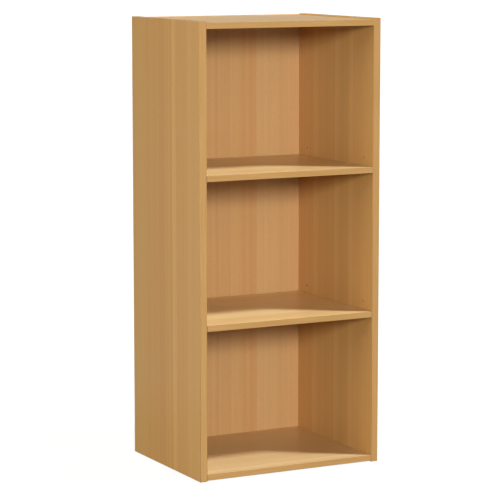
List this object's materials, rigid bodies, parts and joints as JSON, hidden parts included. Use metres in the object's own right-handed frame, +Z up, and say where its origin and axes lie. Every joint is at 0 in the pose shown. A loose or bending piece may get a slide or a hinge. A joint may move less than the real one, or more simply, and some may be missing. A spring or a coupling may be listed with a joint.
{
  "type": "bookcase with adjustable shelves",
  "caption": "Tall narrow flat-pack bookcase in beech-effect faced board: open bays, loose shelves lying on push-in pins, nailed-on back panel.",
  "frame": {"origin": "middle of the bookcase's outline on the floor", "axes": "+X to the right seen from the front, +Y from the open front to the back panel, +Z up"},
  "size_m": [0.402, 0.3122, 0.9],
  "materials": {
    "beech_foil": "melamine-faced chipboard with a printed beech grain, satin",
    "edge_band": "plain satin beech-coloured edge band",
    "printed_back": "hardboard printed with beech grain on its front face",
    "nickel": "nickel-plated steel",
    "zinc": "dull die-cast zinc alloy and zinc-plated steel",
    "nail_steel": "bright steel wire",
    "dowel_wood": "bare beech"
  },
  "bodies": {
    "carcass": {"back_nail_bottom_left": "nail_steel", "back_nail_bottom_right": "nail_steel", "back_nail_left_1": "nail_steel", "back_nail_left_2": "nail_steel", "back_nail_left_3": "nail_steel", "back_nail_left_4": "nail_steel", "back_nail_left_5": "nail_steel", "back_nail_right_1": "nail_steel", "back_nail_right_2": "nail_steel", "back_nail_right_3": "nail_steel", "back_nail_right_4": "nail_steel", "back_nail_right_5": "nail_steel", "back_nail_top_left": "nail_steel", "back_nail_top_right": "nail_steel", "back_panel": "printed_back", "bottom_edge_band": "edge_band", "bottom_panel": "beech_foil", "cam_bolt_bottom_left_front": "zinc", "cam_bolt_bottom_left_rear": "zinc", "cam_bolt_bottom_right_front": "zinc", "cam_bolt_bottom_right_rear": "zinc", "cam_bolt_top_left_front": "zinc", "cam_bolt_top_left_rear": "zinc", "cam_bolt_top_right_front": "zinc", "cam_bolt_top_right_rear": "zinc", "cam_bottom_left_front": "zinc", "cam_bottom_left_rear": "zinc", "cam_bottom_right_front": "zinc", "cam_bottom_right_rear": "zinc", "cam_top_left_front": "zinc", "cam_top_left_rear": "zinc", "cam_top_right_front": "zinc", "cam_top_right_rear": "zinc", "dowel_bottom_left_front": "dowel_wood", "dowel_bottom_left_rear": "dowel_wood", "dowel_bottom_right_front": "dowel_wood", "dowel_bottom_right_rear": "dowel_wood", "dowel_top_left_front": "dowel_wood", "dowel_top_left_rear": "dowel_wood", "dowel_top_right_front": "dowel_wood", "dowel_top_right_rear": "dowel_wood", "left_side_edge_band": "edge_band", "left_side_panel": "beech_foil", "right_side_edge_band": "edge_band", "right_side_panel": "beech_foil", "top_edge_band": "edge_band", "top_panel": "beech_foil"},
    "lower_shelf": {"lower_shelf": "beech_foil", "lower_shelf_edge_band": "edge_band"},
    "upper_shelf": {"upper_shelf": "beech_foil", "upper_shelf_edge_band": "edge_band"},
    "lower_shelf_pin_left_front": {"lower_shelf_pin_left_front": "nickel"},
    "lower_shelf_pin_left_rear": {"lower_shelf_pin_left_rear": "nickel"},
    "lower_shelf_pin_right_front": {"lower_shelf_pin_right_front": "nickel"},
    "lower_shelf_pin_right_rear": {"lower_shelf_pin_right_rear": "nickel"},
    "upper_shelf_pin_left_front": {"upper_shelf_pin_left_front": "nickel"},
    "upper_shelf_pin_left_rear": {"upper_shelf_pin_left_rear": "nickel"},
    "upper_shelf_pin_right_front": {"upper_shelf_pin_right_front": "nickel"},
    "upper_shelf_pin_right_rear": {"upper_shelf_pin_right_rear": "nickel"}
  },
  "joints": [
    {"name": "lower_shelf_lift", "type": "slide", "parent": "carcass", "child": "lower_shelf", "axis": [0, 0, 1], "range_m": [0, 0.27]},
    {"name": "upper_shelf_lift", "type": "slide", "parent": "carcass", "child": "upper_shelf", "axis": [0, 0, 1], "range_m": [0, 0.27]},
    {"name": "lower_shelf_pin_left_front_pull", "type": "slide", "parent": "carcass", "child": "lower_shelf_pin_left_front", "axis": [1, 0, 0], "range_m": [0, 0.01]},
    {"name": "lower_shelf_pin_left_rear_pull", "type": "slide", "parent": "carcass", "child": "lower_shelf_pin_left_rear", "axis": [1, 0, 0], "range_m": [0, 0.01]},
    {"name": "lower_shelf_pin_right_front_pull", "type": "slide", "parent": "carcass", "child": "lower_shelf_pin_right_front", "axis": [-1, 0, 0], "range_m": [0, 0.01]},
    {"name": "lower_shelf_pin_right_rear_pull", "type": "slide", "parent": "carcass", "child": "lower_shelf_pin_right_rear", "axis": [-1, 0, 0], "range_m": [0, 0.01]},
    {"name": "upper_shelf_pin_left_front_pull", "type": "slide", "parent": "carcass", "child": "upper_shelf_pin_left_front", "axis": [1, 0, 0], "range_m": [0, 0.01]},
    {"name": "upper_shelf_pin_left_rear_pull", "type": "slide", "parent": "carcass", "child": "upper_shelf_pin_left_rear", "axis": [1, 0, 0], "range_m": [0, 0.01]},
    {"name": "upper_shelf_pin_right_front_pull", "type": "slide", "parent": "carcass", "child": "upper_shelf_pin_right_front", "axis": [-1, 0, 0], "range_m": [0, 0.01]},
    {"name": "upper_shelf_pin_right_rear_pull", "type": "slide", "parent": "carcass", "child": "upper_shelf_pin_right_rear", "axis": [-1, 0, 0], "range_m": [0, 0.01]}
  ]
}
